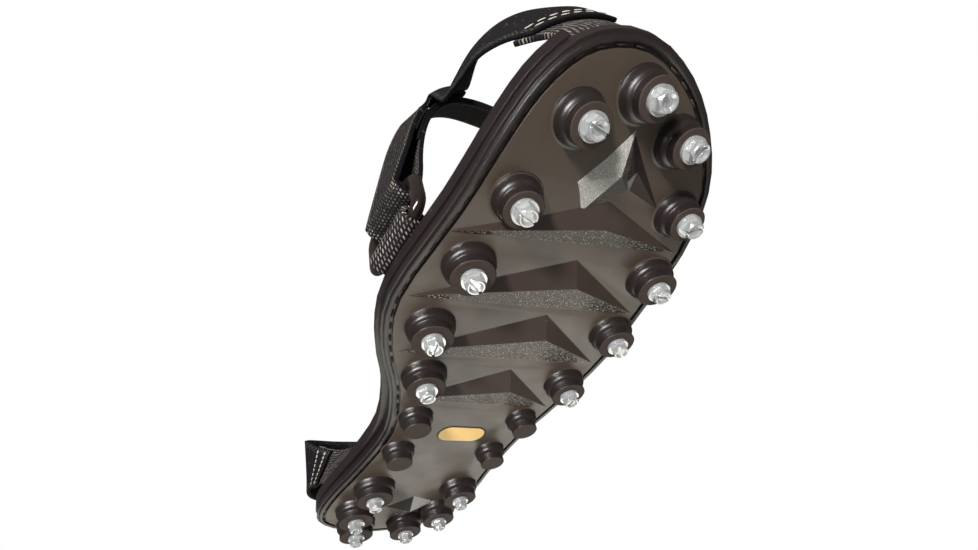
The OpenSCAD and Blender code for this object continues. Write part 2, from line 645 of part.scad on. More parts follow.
outsole();
midsole();
footbed();
rim_stitching();
sole_badge();
toe_screws();
ball_screws();
heel_screws();
toe_anchor();
toe_strap();
toe_hook_patch();
toe_stitching();
instep_anchor_inner();
instep_ring();
instep_strap();
instep_loop_patch();
instep_tab();
tab_hook_patch();
instep_anchor_outer();
instep_stitching();
heel_anchor_inner();
heel_anchor_outer();
heel_band();
heel_stitching();
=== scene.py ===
"""Looks of a strap-on ice cleat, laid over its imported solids.

Lengths below are in millimetres unless they say metres.
"""
import math

import bpy
import numpy as np
from mathutils import Matrix, Vector, kdtree


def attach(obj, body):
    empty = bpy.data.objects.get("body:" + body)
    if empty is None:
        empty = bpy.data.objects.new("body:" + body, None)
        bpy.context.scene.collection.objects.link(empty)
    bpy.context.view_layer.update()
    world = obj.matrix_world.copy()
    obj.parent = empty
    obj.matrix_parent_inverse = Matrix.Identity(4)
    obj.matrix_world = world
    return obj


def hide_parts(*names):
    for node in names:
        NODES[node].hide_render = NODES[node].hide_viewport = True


bl_info = {
    "name": "Strap-on ice cleat",
    "version": (1, 0, 0),
    "blender": (4, 5, 0),
    "location": "View3D > Sidebar > Cleat",
    "description": "Dresses the solids of a strap-on ice cleat",
    "category": "Object",
}

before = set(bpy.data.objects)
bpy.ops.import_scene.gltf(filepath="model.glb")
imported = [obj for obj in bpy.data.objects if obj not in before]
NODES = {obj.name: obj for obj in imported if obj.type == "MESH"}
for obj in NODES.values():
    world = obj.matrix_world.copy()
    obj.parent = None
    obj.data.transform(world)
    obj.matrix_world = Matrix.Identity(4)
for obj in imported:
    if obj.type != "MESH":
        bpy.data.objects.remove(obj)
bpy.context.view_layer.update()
MM = 0.001

# Levels and ends of the sole, in the frame of the solids
Z_TOP = 24.0
Z_UNDER = 13.0
TOE_Y = 156.0
HEEL_Y = -143.0
# Sideways shift of the sole in that frame
SIDE = 1.02
# Start of the plate's bend up to the toe, and its radius
SPRING_Y = 84.0
SPRING_R = 281.0

# Places of the outsole's finishes in its list of materials
DARK, COARSE, WORN, DUST_AND_SHEEN, FINE, PAINTED_SHEEN, SHADED_LUG, BEAD = range(8)
# Height on the side of the sole that shows its edge, and the reach of the land between that edge
# and the rim seam
RIM_RISE = 3.0
LAND_W = 4.2
# Depths below the plate, of the plate itself and of the bosses' faces
PLATE_DEPTH = (-0.3, 0.5)
BOSS_FACE_DEPTH = 8.2
# The z of a normal that looks down, and the range of it on the slopes of the lugs
LOOKS_DOWN = -0.9
LUG_SLOPE = (-0.995, -0.7)
# Least sideways tilt of a lug's face where the plate bends, and the end of the plate's flat part
LUG_TURN = 0.01
FLAT_TO_Y = 80.0
# Least area of a lug's face in square millimetres, and the tilt that turns it towards the heel
LUG_AREA = 12.0
HEEL_TILT = -0.08
# Start of the arrow lug, and end of the heel lug
ARROW_Y = 100.0
HEEL_LUG_Y = -90.0
# Limits of the x and y of the normals of the arrow's faces: the lit one, painted with a pale sheen, the outer
# ones and the worn ones
ARROW_LIT = (0.15, 0.4)
ARROW_OUTER = -0.2
ARROW_WORN = (0.05, -0.3)
# Width of the dark outline of the inlay
OUTLINE_W = 0.7

# Angles in degrees up to which moulded pieces, screws and straps look smooth
MOULDED_ANGLE = 38
SCREW_ANGLE = 30
CLOTH_ANGLE = 50

# Sizes of the patterns: the rubber's skin, bloom, wiped patches and scuffs, and the screws' dull patches
SKIN = 0.625
BLOOM = 18.18
WIPE = 11.11
SCUFF = 2.0
DULL_PATCH = 2.381
# The webbing's frays, the straps' painted glints and fuzz, and the distance from hook to hook
FRAY = 1.111
GLINT_SPOT = 1.613
FUZZ = 0.7143
HOOK = 1.25
# The felt's fibres and worn spots, the thread's twist, and the plastic's flow and handling marks
FIBRE = 1.429
WORN_SPOT = 22.22
TWIST = 0.6667
FLOW = 3.846
HANDLING = 1.111
# Radius of the screws' edges
SCREW_ROUND = 0.25

# Thicknesses of webbing, straps and patches, the gap between two layers, and the lift of a strap's
# foot off the sole
WEB_T = 2.0
STRAP_T = 2.0
TOE_STRAP_T = 1.6
PATCH_T = 1.0
LAY = 0.1
FOOT_LIFT = 0.05
# Widest soft edge of a strip, its share of a thin strip's thickness, and the power that blunts a stitch
SOFT_W = 0.45
SOFT_SHARE = 0.3
STITCH_POWER = 0.6

# The ring: its place in plan, its turn there in degrees, half its bars' length, its distance from the
# rim and its bars' heights
RING_AT = (45.5715 + SIDE, 60.5)
RING_TURN = 8.47675
RING_HALF = 12.6381
RING_O = 5.7
LOW_Z = 30.0
BAR_Z = 50.0
# Radius of the instep strap's fold round the upper bar, and the steps of that half turn
FOLD_R = 5.7
FOLD_STEPS = 8
# First angle and step of the stations of the instep strap's arch in degrees, and the powers of its form
ARCH_FIRST = 12
ARCH_STEP = 4
ARCH_POWER = 0.69
LEAN_POWER = 1.3

# The photo's camera: focal length and width in pixels, and the width of the sensor
FOCAL_PX = 460
PHOTO_W = 978
SENSOR_W = 36
CAMERA_AT = (94.09 + SIDE, 154.22, -107.08)
CAMERA_RIGHT = (-0.876, 0.4247, -0.2288)
CAMERA_DOWN = (-0.1881, -0.7376, -0.6486)
CAMERA_AHEAD = (-0.4442, -0.525, 0.726)
# Where the mirrored backdrop lies, and what the lamps at the side aim at, in metres
BACKDROP_WAY = (-0.47, -0.7, -0.54)
LAMP_AIM = (0, 0.06, 0.01)


def linear(code):
    """The linear colour of an sRGB hex value."""
    parts = [int(code[i : i + 2], 16) / 255 for i in (1, 3, 5)]
    return [p / 12.92 if p <= 0.04045 else ((p + 0.055) / 1.055) ** 2.4 for p in parts]


def colour(label, words, code):
    """A colour that can be set, with its sRGB hex value."""
    return bpy.props.FloatVectorProperty(
        name=label, description=words, subtype="COLOR", size=3, min=0, max=1, default=linear(code)
    )


def size(label, words, value):
    """A length that can be set, with its value in millimetres."""
    return bpy.props.FloatProperty(
        name=label, description=words, default=value * MM, min=0, unit="LENGTH", precision=5
    )


class CleatColours(bpy.types.PropertyGroup):
    """Colours of the cleat's finishes."""

    rubber: colour("Rubber", "Moulded rubber of the outsole", "#1e1817")
    # The plate's brown: a dusty bloom, and lighter than the bare rubber as a painted sheen
    dust_and_sheen: colour("Dusty rubber with painted sheen", "Rubber of the plate, with its bloom", "#42382f")
    worn: colour("Worn rubber", "Faces of the bosses", "#3a302b")
    # Darker colour painted on lug faces towards the toe, as painted shade
    lug: colour("Lugs", "Smooth lug faces towards the toe", "#362b27")
    # Pale colour painted on lug faces turned to the key lamp, as a painted sheen; also the grit of the fine
    # grain
    sheen_and_grit: colour("Frosted rubber with painted sheen", "Fine-grained lug faces that catch the light", "#92928c")
    # Pale peaks of the grain: partly wear, and lightened as a painted sheen on the faces towards the heel
    speck: colour("Grit", "Worn peaks of the coarse grain", "#e2dccf")
    wall: colour("Wall", "Rubber of the midsole wall", "#1b1315")
    felt: colour("Felt", "Felt of the footbed", "#4a443d")
    rim_thread: colour("Rim thread", "Waxed thread of the rim seam", "#3d302b")
    amber: colour("Inlay", "Amber inlay in the waist", "#efc473")
    zinc: colour("Zinc", "Zinc plating of the screws", "#e4e6e6")
    webbing: colour("Webbing", "Ground of the ribbed webbing", "#171318")
    # Also the colour of the straps' dots and of their painted glints
    fleck: colour("Flecks", "Light threads of the webbing", "#a39a8d")
    strap: colour("Strap", "Smooth strap cloth", "#151316")
    thread: colour("Thread", "Sewing thread of the straps", "#a9a298")
    ring: colour("Ring", "Moulded plastic of the ring", "#1d1514")
    floor: colour("Floor", "Floor of the stage", "#e9e8e6")


class CleatSizes(bpy.types.PropertyGroup):
    """Sizes of the cleat's cloth, grain and edges."""

    fleck_l: size("Fleck length", "Distance from fleck to fleck along a row of the webbing", 1.9)
    fleck_row: size("Fleck rows", "Distance from row to row of the webbing", 1.6)
    weave: size("Weave", "Thread spacing of the strap cloth", 0.9)
    dot: size("Dots", "Distance from dot to dot of the instep strap", 1.5)
    grain: size("Grain", "Grit of the grained lug faces", 0.9)
    fine_grain: size("Fine grain", "Grit of the arrow lug", 0.35)
    edge_round: size("Edge", "Radius of the rubber's moulded edges", 0.5)
    bead_round: size("Bead", "Radius of the bead along the rim", 2.0)


# Material nodes


def node(tree, kind, links=None, **settings):
    """Adds a shader node of a kind and gives its outputs.

    A link's value is a socket to join, or a number or colour to set.
    """
    made = tree.nodes.new("ShaderNode" + kind)
    for key, value in settings.items():
        setattr(made, key, value)
    for key, value in (links or {}).items():
        if isinstance(value, bpy.types.NodeSocket):
            tree.links.new(value, made.inputs[key])
        else:
            made.inputs[key].default_value = value
    return made.outputs


def new_surface(name, roughness, **sockets):
    """A material, its node tree and its shader, with plain values set on the shader's own sockets."""
    material = bpy.data.materials.new(name)
    material.use_nodes = True
    shader = material.node_tree.nodes["Principled BSDF"]
    shader.inputs["Roughness"].default_value = roughness
    for key, value in sockets.items():
        shader.inputs[key.replace("_", " ")].default_value = value
    return material, material.node_tree, shader


def shade(rgb, factor):
    """A colour made lighter or darker, with its alpha."""
    return [min(1.0, c * factor) for c in rgb] + [1.0]


def per(length):
    """The scale of a pattern whose features have a length in millimetres."""
    return 1.0 / (length * MM)


def dress(tree, shader, tones, relief, rough=None):
    """Gives a surface its colour, mixed from two tones, its relief, and its roughness where that varies."""
    tone = node(tree, "Mix", tones, data_type="RGBA")
    rise = node(tree, "Bump", relief)
    tree.links.new(tone[2], shader.inputs["Base Color"])
    tree.links.new(rise["Normal"], shader.inputs["Normal"])
    if rough is not None:
        tree.links.new(rough, shader.inputs["Roughness"])


def moulded_rubber(name, rgb, edge, gloss=0.6, grain=None, speck=None):
    """Compression-moulded rubber: satin, soft at its edges, with a faint mottled bloom.

    A grain takes the place of the bloom, as grit whose peaks are pale: worn, and lightened as a painted
    sheen.
    """
    material, tree, shader = new_surface(name, 0.26, IOR=1.55, Specular_IOR_Level=gloss)
    place = node(tree, "TexCoord")["Object"]
    rounded = node(tree, "Bevel", {"Radius": edge}, samples=4)["Normal"]
    fine = {"Vector": place, "Scale": per(SKIN), "Detail": 2.0}
    skin = node(tree, "TexNoise", fine)["Fac"]
    relief = {"Height": skin, "Normal": rounded, "Strength": 0.05, "Distance": 0.3 * MM}
    patches = {"Vector": place, "Scale": per(WIPE), "Detail": 4.0}
    wipe = node(tree, "TexNoise", patches)["Fac"]
    satin = {"Value": wipe, "From Min": 0.3, "From Max": 0.7, "To Min": 0.28, "To Max": 0.4}
    rough = node(tree, "MapRange", satin)["Result"]
    if grain:
        cells = {"Vector": place, "Scale": 1.0 / grain}
        grit = node(tree, "TexVoronoi", cells)
        stand = {"Value": grit["Distance"], "From Min": 0.18, "From Max": 0.5, "To Min": 1.0, "To Max": 0.0}
        peak = node(tree, "MapRange", stand)["Result"]
        luck = node(tree, "SeparateColor", {"Color": grit["Color"]})[0]
        worn = {"Value": luck, "To Min": 0.4, "To Max": 1.0}
        bright = node(tree, "MapRange", worn)["Result"]
        share = node(tree, "Math", {0: peak, 1: bright}, operation="MULTIPLY")["Value"]
        # The peaks take the speck colour: worn, and pale partly as painted sheen
        tones = {0: share, 6: shade(rgb, 0.8), 7: shade(speck, 1.0)}
        under = node(tree, "Bump", relief)["Normal"]
        relief = {"Height": peak, "Normal": under, "Strength": 0.9, "Distance": grain * 0.55}
    else:
        clouds = {"Vector": place, "Scale": per(BLOOM), "Detail": 5.0, "Roughness": 0.6}
        bloom = node(tree, "TexNoise", clouds)["Fac"]
        tones = {0: bloom, 6: shade(rgb, 0.8), 7: shade(rgb, 1.2)}
    dress(tree, shader, tones, relief, rough)
    return material


def worn_rubber(name, rgb):
    """Rubber worn by walking: matt and scuffed, so that it shows its brown and no mirror light."""
    material, tree, shader = new_surface(name, 0.7, Specular_IOR_Level=0.25)
    place = node(tree, "TexCoord")["Object"]
    rubbed = {"Vector": place, "Scale": per(SCUFF), "Detail": 5.0, "Roughness": 0.65}
    scuff = node(tree, "TexNoise", rubbed)["Fac"]
    tones = {0: scuff, 6: shade(rgb, 0.8), 7: shade(rgb, 1.3)}
    dress(tree, shader, tones, {"Height": scuff, "Strength": 0.3, "Distance": 0.3 * MM})
    return material


def zinc_plate(name, rgb):
    """Zinc-plated steel: pale, part mirror and part diffuse white as a painted reflection of bright
    surroundings, with duller patches.
    """
    # Only part metal, so that its pale colour shows as a painted reflection of bright surroundings
    material, tree, shader = new_surface(name, 0.2, Metallic=0.7)
    place = node(tree, "TexCoord")["Object"]
    dull = {"Vector": place, "Scale": per(DULL_PATCH), "Detail": 3.0}
    patch = node(tree, "TexNoise", dull)["Fac"]
    tones = {0: patch, 6: shade(rgb, 0.72), 7: shade(rgb, 1.1)}
    tone = node(tree, "Mix", tones, data_type="RGBA")
    gloss = {"Value": patch, "From Min": 0.3, "From Max": 0.7, "To Min": 0.12, "To Max": 0.3}
    rough = node(tree, "MapRange", gloss)
    rounded = node(tree, "Bevel", {"Radius": SCREW_ROUND * MM}, samples=4)
    tree.links.new(tone[2], shader.inputs["Base Color"])
    tree.links.new(rough["Result"], shader.inputs["Roughness"])
    tree.links.new(rounded["Normal"], shader.inputs["Normal"])
    return material


def ribbed_webbing(name, ground, fleck, sizes):
    """Ribbed polypropylene webbing: black, with light threads that surface as short dashes in rows."""
    material, tree, shader = new_surface(name, 0.8, Specular_IOR_Level=0.25)
    place = node(tree, "TexCoord")["UV"]
    flat = node(tree, "SeparateXYZ", {0: place})
    row = node(tree, "Math", {0: flat[1], 1: sizes.fleck_row}, operation="DIVIDE")[0]
    step = node(tree, "Math", {0: flat[0], 1: sizes.fleck_l}, operation="DIVIDE")[0]
    in_row = node(tree, "Math", {0: row}, operation="FRACT")[0]
    slant = {0: in_row, 1: -0.7, 2: step}
    lean = node(tree, "Math", slant, operation="MULTIPLY_ADD")[0]
    in_step = node(tree, "Math", {0: lean}, operation="FRACT")[0]

    def pulse(value, half, soft):
        """1 at the middle of each step and 0 beyond half a width, with a soft edge."""
        off = node(tree, "Math", {0: value, 1: 0.5}, operation="SUBTRACT")[0]
        away = node(tree, "Math", {0: off}, operation="ABSOLUTE")[0]
        fade = {"Value": away, "From Min": half - soft, "From Max": half + soft, "To Min": 1.0, "To Max": 0.0}
        return node(tree, "MapRange", fade)["Result"]

    both = {0: pulse(in_step, half=0.15, soft=0.1), 1: pulse(in_row, half=0.32, soft=0.1)}
    dash = node(tree, "Math", both, operation="MULTIPLY")[0]
    which = node(tree, "CombineXYZ", {0: lean, 1: row})[0]
    whole = node(tree, "VectorMath", {0: which}, operation="FLOOR")[0]
    luck = node(tree, "TexWhiteNoise", {"Vector": whole}, noise_dimensions="2D")
    threads = {0: luck["Value"], 6: shade(fleck, 0.4), 7: shade(fleck, 1.3)}
    light = node(tree, "Mix", threads, data_type="RGBA")[2]
    dashes = {0: dash, 6: shade(ground, 1.0), 7: light}
    rows = node(tree, "Mix", dashes, data_type="RGBA")[2]
    wear = {"Vector": place, "Scale": per(FRAY), "Detail": 2.0}
    fray = node(tree, "TexNoise", wear)["Fac"]
    left = {"Value": fray, "From Min": 0.36, "From Max": 0.5, "To Min": 0.25, "To Max": 1.0}
    share = node(tree, "MapRange", left)["Result"]
    tones = {0: share, 6: shade(ground, 1.2), 7: rows}
    dress(tree, shader, tones, {"Height": dash, "Strength": 0.8, "Distance": 0.4 * MM})
    return material


def strap_cloth(name, rgb, fleck, sizes, pile=False, dotted=(0.0, 0.0)):
    """Knitted nylon strap: black and close-woven, with light dots at its edges and inside, and painted
    glints.

    The pile kind is fuzzy, with more painted glints.
    """
    material, tree, shader = new_surface(name, 0.85, Specular_IOR_Level=0.2)
    place = node(tree, "TexCoord")["UV"]
    knit = {
        "Vector": place, "Scale": 1.0, "Mortar Size": sizes.weave * 0.1, "Mortar Smooth": 0.6,
        "Color1": shade(rgb, 1.5), "Color2": shade(rgb, 0.75), "Mortar": shade(rgb, 0.5),
        "Brick Width": sizes.weave * 1.3, "Row Height": sizes.weave * 0.7,
    }
    weave = node(tree, "TexBrick", knit)
    # Scattered light specks: painted glints on the cloth
    cells = {"Vector": place, "Scale": per(GLINT_SPOT)}
    glint_cells = node(tree, "TexVoronoi", cells)
    spot = {"Value": glint_cells["Distance"], "From Min": 0.12, "From Max": 0.26, "To Min": 1.0, "To Max": 0.0}
    glint = node(tree, "MapRange", spot)["Result"]
    luck = node(tree, "SeparateColor", {"Color": glint_cells["Color"]})[0]
    rare = {0: luck, 1: 0.6 if pile else 0.78}
    few = node(tree, "Math", rare, operation="GREATER_THAN")["Value"]
    speck = node(tree, "Math", {0: glint, 1: few}, operation="MULTIPLY")["Value"]
    faint = node(tree, "Math", {0: speck, 1: 0.35}, operation="MULTIPLY")["Value"]
    glinted = {0: faint, 6: weave["Color"], 7: shade(fleck, 0.8)}
    ground = node(tree, "Mix", glinted, data_type="RGBA")[2]
    edge = node(tree, "Attribute", attribute_name="edge_mm")["Fac"]
    border = {"Value": edge, "From Min": 2.9, "From Max": 3.1, "To Min": dotted[0], "To Max": dotted[1]}
    part = node(tree, "MapRange", border)["Result"]
    bare = {"Value": edge, "From Min": 0.1, "From Max": 0.3}
    rim = node(tree, "MapRange", bare)["Result"]
    share = node(tree, "Math", {0: part, 1: rim}, operation="MULTIPLY")["Value"]
    rows = {
        "Vector": place, "Scale": 1.0, "Mortar Size": sizes.dot * 0.3, "Mortar Smooth": 0.4,
        "Color1": shade(fleck, 0.8), "Color2": shade(fleck, 0.15), "Mortar": shade(rgb, 0.8),
        "Brick Width": sizes.dot, "Row Height": sizes.dot,
    }
    dots = node(tree, "TexBrick", rows)["Color"]
    tones = {0: share, 6: ground, 7: dots}
    ribs = {"Height": weave["Fac"], "Strength": 0.35, "Distance": 0.2 * MM}
    woven = node(tree, "Bump", ribs, invert=True)["Normal"]
    hairs = {"Vector": place, "Scale": per(FUZZ), "Detail": 3.0}
    fuzz = node(tree, "TexNoise", hairs)["Fac"]
    nap = {"Height": fuzz, "Normal": woven, "Strength": 0.9 if pile else 0.3, "Distance": 0.6 * MM}
    dress(tree, shader, tones, nap)
    return material


def hook_tape(name, rgb):
    """Hook tape: black nylon with rows of tiny stiff hooks."""
    material, tree, shader = new_surface(name, 0.5)
    place = node(tree, "TexCoord")["UV"]
    cells = {"Vector": place, "Scale": per(HOOK), "Randomness": 0.15}
    hooks = node(tree, "TexVoronoi", cells)["Distance"]
    stand = {"Value": hooks, "From Min": 0.1, "From Max": 0.4, "To Min": 1.0, "To Max": 0.0}
    peak = node(tree, "MapRange", stand)["Result"]
    tones = {0: peak, 6: shade(rgb, 0.6), 7: shade(rgb, 2.6)}
    dress(tree, shader, tones, {"Height": peak, "Strength": 1.0, "Distance": 0.6 * MM})
    return material


def pressed_felt(name, rgb):
    """Needle-punched felt: matt, matted fibres in two browns with darker worn spots."""
    material, tree, shader = new_surface(name, 0.95, Specular_IOR_Level=0.1)
    place = node(tree, "TexCoord")["Object"]
    matted = {"Vector": place, "Scale": per(FIBRE), "Detail": 6.0, "Roughness": 0.75, "Distortion": 1.5}
    fibres = node(tree, "TexNoise", matted)["Fac"]
    spots = {"Vector": place, "Scale": per(WORN_SPOT), "Detail": 4.0}
    worn = node(tree, "TexNoise", spots)["Fac"]
    both = node(tree, "Math", {0: fibres, 1: worn}, operation="MULTIPLY")["Value"]
    pale = {"Value": both, "From Min": 0.12, "From Max": 0.4}
    share = node(tree, "MapRange", pale)["Result"]
    tones = {0: share, 6: shade(rgb, 0.45), 7: shade(rgb, 1.5)}
    dress(tree, shader, tones, {"Height": fibres, "Strength": 0.9, "Distance": 0.8 * MM})
    return material


def twisted_thread(name, rgb):
    """Twisted sewing thread: its strands show as small light and dark bands."""
    material, tree, shader = new_surface(name, 0.6, Specular_IOR_Level=0.3)
    place = node(tree, "TexCoord")["Object"]
    strands = {"Vector": place, "Scale": per(TWIST), "Detail": 2.0}
    twist = node(tree, "TexNoise", strands)["Fac"]
    tones = {0: twist, 6: shade(rgb, 0.6), 7: shade(rgb, 1.3)}
    dress(tree, shader, tones, {"Height": twist, "Strength": 0.4, "Distance": 0.3 * MM})
    return material


def moulded_plastic(name, rgb, roughness, mottle, coat=0.0):
    """Injection-moulded plastic: smooth, with a faint flow mottle and fine handling marks."""
    material, tree, shader = new_surface(name, roughness, IOR=1.5, Coat_Weight=coat, Coat_Roughness=0.1)
    place = node(tree, "TexCoord")["Object"]
    swirls = {"Vector": place, "Scale": per(FLOW), "Detail": 4.0}
    flow = node(tree, "TexNoise", swirls)["Fac"]
    tones = {0: flow, 6: shade(rgb, 1 - mottle), 7: shade(rgb, 1 + mottle)}
    handled = {"Vector": place, "Scale": per(HANDLING), "Detail": 3.0}
    marks = node(tree, "TexNoise", handled)["Fac"]
    dress(tree, shader, tones, {"Height": marks, "Strength": 0.06, "Distance": 0.3 * MM})
    return material


# Modelling


def select_only(*pieces):
    """Selects these pieces alone and makes the first one active."""
    bpy.ops.object.select_all(action="DESELECT")
    for piece in pieces:
        piece.select_set(True)
    bpy.context.view_layer.objects.active = pieces[0]


def face_outwards():
    """Turns all the faces of the active piece outwards."""
    bpy.ops.object.mode_set(mode="EDIT")
    bpy.ops.mesh.select_all(action="SELECT")
    bpy.ops.mesh.normals_make_consistent(inside=False)
    bpy.ops.object.mode_set(mode="OBJECT")


def corners_of(mesh):
    """The places of a mesh's corners."""
    return np.array([corner.co[:] for corner in mesh.vertices])


def seat(piece, name, body, slot, material, *stands_for):
    """Names a piece, gives it its finish and its body, and hides the solids it stands for."""
    piece.name = name
    piece.data.name = name
    piece.data.materials.clear()
    piece.data.materials.append(material)
    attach(piece, body)
    if stands_for:
        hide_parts(*stands_for)
    return piece


def smooth_copy(source, angle):
    """A merged copy of a solid, smooth up to an angle in degrees."""
    piece = bpy.data.objects.new(source + "_copy", NODES[source].data.copy())
    bpy.context.scene.collection.objects.link(piece)
    select_only(piece)
    bpy.ops.object.mode_set(mode="EDIT")
    bpy.ops.mesh.select_all(action="SELECT")
    bpy.ops.mesh.remove_doubles(threshold=2e-6)
    bpy.ops.mesh.customdata_custom_splitnormals_clear()
    bpy.ops.mesh.select_all(action="DESELECT")
    bpy.ops.object.mode_set(mode="OBJECT")
    bpy.ops.object.shade_smooth_by_angle(angle=math.radians(angle))
    return piece


def depth_below(spot):
    """How far a spot in metres lies below the plate, which bends up to the toe, in millimetres."""
    y, z = spot.y / MM, spot.z / MM
    if y < SPRING_Y:
        return Z_UNDER - z
    return math.hypot(y - SPRING_Y, Z_UNDER + SPRING_R - z) - SPRING_R


def rim_distances(corners):
    """How far each corner of the outsole lies from the sole's edge, in plan and in millimetres."""
    sides = [corner.co for corner in corners if depth_below(corner.co) < -RIM_RISE]
    rim = kdtree.KDTree(len(sides))
    for i, spot in enumerate(sides):
        rim.insert((spot.x, spot.y, 0), i)
    rim.balance()
    return [rim.find((corner.co.x, corner.co.y, 0))[2] / MM for corner in corners]


def lug_finish(face):
    """The finish of a lug's face, by its place and by where it looks, with painted shade and painted sheen on
    some faces.
    """
    n = face.normal
    y = face.center.y / MM
    rise = math.asin(max(0.0, y - SPRING_Y) / SPRING_R)
    towards_heel = n.y * math.cos(rise) + n.z * math.sin(rise) < HEEL_TILT
    if y > ARROW_Y:
        # The arrow's face turned to the key lamp takes the pale painted sheen
        if n.x > ARROW_LIT[0] and n.y < ARROW_LIT[1]:
            return PAINTED_SHEEN
        if n.x < ARROW_OUTER:
            return FINE
        if n.x > ARROW_WORN[0] and n.y < ARROW_WORN[1]:
            return WORN
    elif y < HEEL_LUG_Y and not towards_heel:
        # The heel lug's toe faces: the one turned to +x takes the dark rubber as painted shade, the other the
        # pale painted sheen
        return DARK if n.x > 0 else PAINTED_SHEEN
    # Other faces towards the toe take the darker lug colour as painted shade; faces towards the heel are
    # grained
    return COARSE if towards_heel else SHADED_LUG


def finish_outsole(mesh):
    """Gives the plate, its land, the bosses' faces and the lugs their finishes."""
    from_rim = rim_distances(mesh.vertices)
    lugs = {}
    for face in mesh.polygons:
        n = face.normal
        depth = depth_below(face.center)
        if depth > BOSS_FACE_DEPTH:
            face.material_index = WORN
        elif PLATE_DEPTH[0] < depth < PLATE_DEPTH[1] and n.z < LOOKS_DOWN:
            land = max(from_rim[i] for i in face.vertices) < LAND_W
            # The plate takes the dusty colour, lightened as a painted sheen
            face.material_index = BEAD if land else DUST_AND_SHEEN
        slopes = LUG_SLOPE[0] < n.z < LUG_SLOPE[1]
        if slopes and (abs(n.x) > LUG_TURN or face.center.y / MM < FLAT_TO_Y):
            key = (round(n.x, 2), round(n.y, 2), round(n.dot(face.center) / MM, 1))
            lugs.setdefault(key, []).append(face)
    for flat in lugs.values():
        if sum(face.area for face in flat) < LUG_AREA * MM**2:
            continue
        for face in flat:
            face.use_smooth = False
            face.material_index = lug_finish(face)


def outline_below(piece, material):
    """Sets the underside of a piece in an outline of another material, which its sides take too."""
    piece.data.materials.append(material)
    for face in piece.data.polygons:
        face.select = face.normal.z < LOOKS_DOWN
    select_only(piece)
    bpy.ops.object.mode_set(mode="EDIT")
    bpy.ops.mesh.select_mode(type="FACE")
    bpy.ops.mesh.inset(thickness=OUTLINE_W * MM)
    bpy.ops.object.mode_set(mode="OBJECT")
    for face in piece.data.polygons:
        face.material_index = 0 if face.select else 1


# Straps


def curve_through(points, steps):
    """Points on a smooth curve through the given ones."""
    p = np.asarray(points, float)
    last = len(p) - 1
    found = []
    for i in range(last):
        a, b, c, d = p[max(i - 1, 0)], p[i], p[i + 1], p[min(i + 2, last)]
        for k in range(steps):
            t = k / steps
            bend = (2 * a - 5 * b + 4 * c - d) * t**2 + (3 * b - a - 3 * c + d) * t**3
            found.append((2 * b + (c - a) * t + bend) / 2)
    found.append(p[last])
    return np.array(found)


def unit(v):
    """Vectors of length 1."""
    return v / np.linalg.norm(v, axis=-1, keepdims=True)


def on_circle(radius, angle):
    """The two parts of a radius at an angle in degrees."""
    return radius * math.cos(math.radians(angle)), radius * math.sin(math.radians(angle))


class StrapPath:
    """The face of a strap: its two edges, its outward directions, and its bulge at its two ends."""

    def __init__(self, edge_a, edge_b, bulge=(0.0, 0.0), feet=(False, False), fine=4):
        self.a = curve_through(edge_a, fine)
        self.b = curve_through(edge_b, fine)
        self.fine = fine
        self.bulge = bulge
        along = np.gradient(self.a, axis=0) + np.gradient(self.b, axis=0)
        self.out = unit(np.cross(along, self.b - self.a))
        for end, foot in zip((0, -1), feet):
            if foot:
                self.out[end] = unit(self.out[end] * np.array([1.0, 1.0, 0.0]))

    def last(self):
        """The last station."""
        return (len(self.a) - 1) / self.fine

    def at(self, k, v, o):
        """Points at stations k, edge shares v and heights o above the face."""
        k = np.clip(np.asarray(k, float) * self.fine, 0, len(self.a) - 1)
        i = np.clip(np.floor(k).astype(int), 0, len(self.a) - 2)
        t = (k - i)[..., None]
        v = np.asarray(v, float)[..., None]
        a = self.a[i] + (self.a[i + 1] - self.a[i]) * t
        b = self.b[i] + (self.b[i + 1] - self.b[i]) * t
        n = unit(self.out[i] + (self.out[i + 1] - self.out[i]) * t)
        first, end = self.bulge
        swell = 4 * (first + (end - first) * (k / (len(self.a) - 1)))[..., None] * v * (1 - v)
        return a + (b - a) * v + n * (np.asarray(o, float)[..., None] + swell)

    def wide(self, k):
        """The width at stations k."""
        low, high = np.zeros_like(k), np.ones_like(k)
        return np.linalg.norm(self.at(k, high, low) - self.at(k, low, low), axis=1)


def in_ring_frame(o, l, z):
    """A point out from the rim, along it and up, at the ring."""
    c, s = on_circle(1.0, RING_TURN)
    return [RING_AT[0] + o * c - l * s, RING_AT[1] + o * s + l * c, z]


def arch_point(angle, x_in, x_out, y, lean, height):
    """A point of an edge of the arch, from its inner end at 0 to its outer end at 180 degrees."""
    c, s = on_circle(1.0, angle)
    up = max(s, 0.0) ** ARCH_POWER
    reach = math.copysign(abs(c) ** ARCH_POWER, c)
    x = (x_in + x_out) / 2 + (x_in - x_out) / 2 * reach + SIDE
    return [x, y + lean * up**LEAN_POWER, Z_TOP + FOOT_LIFT + height * up]


def instep_path():
    """The instep strap: its fold round the ring's upper bar, then its arch over the sole."""

    def edge(side, **arch):
        turn = []
        for i in range(FOLD_STEPS + 1):
            out, up = on_circle(FOLD_R, -180 * i / FOLD_STEPS)
            turn.append(in_ring_frame(RING_O + out, side, BAR_Z + up))
        return turn + [arch_point(a, **arch) for a in range(ARCH_FIRST, 181, ARCH_STEP)]

    front = edge(RING_HALF, x_in=43.7085, x_out=-51.6032, y=TOE_Y - 83, lean=16, height=108)
    rear = edge(-RING_HALF, x_in=47.4344, x_out=-54.0214, y=TOE_Y - 108, lean=23, height=130)
    return StrapPath(front, rear, feet=(False, True))


def arch_station(angle):
    """The station of the instep strap at an angle of its arch in degrees."""
    return FOLD_STEPS + 1 + (angle - ARCH_FIRST) / ARCH_STEP


INSTEP = instep_path()


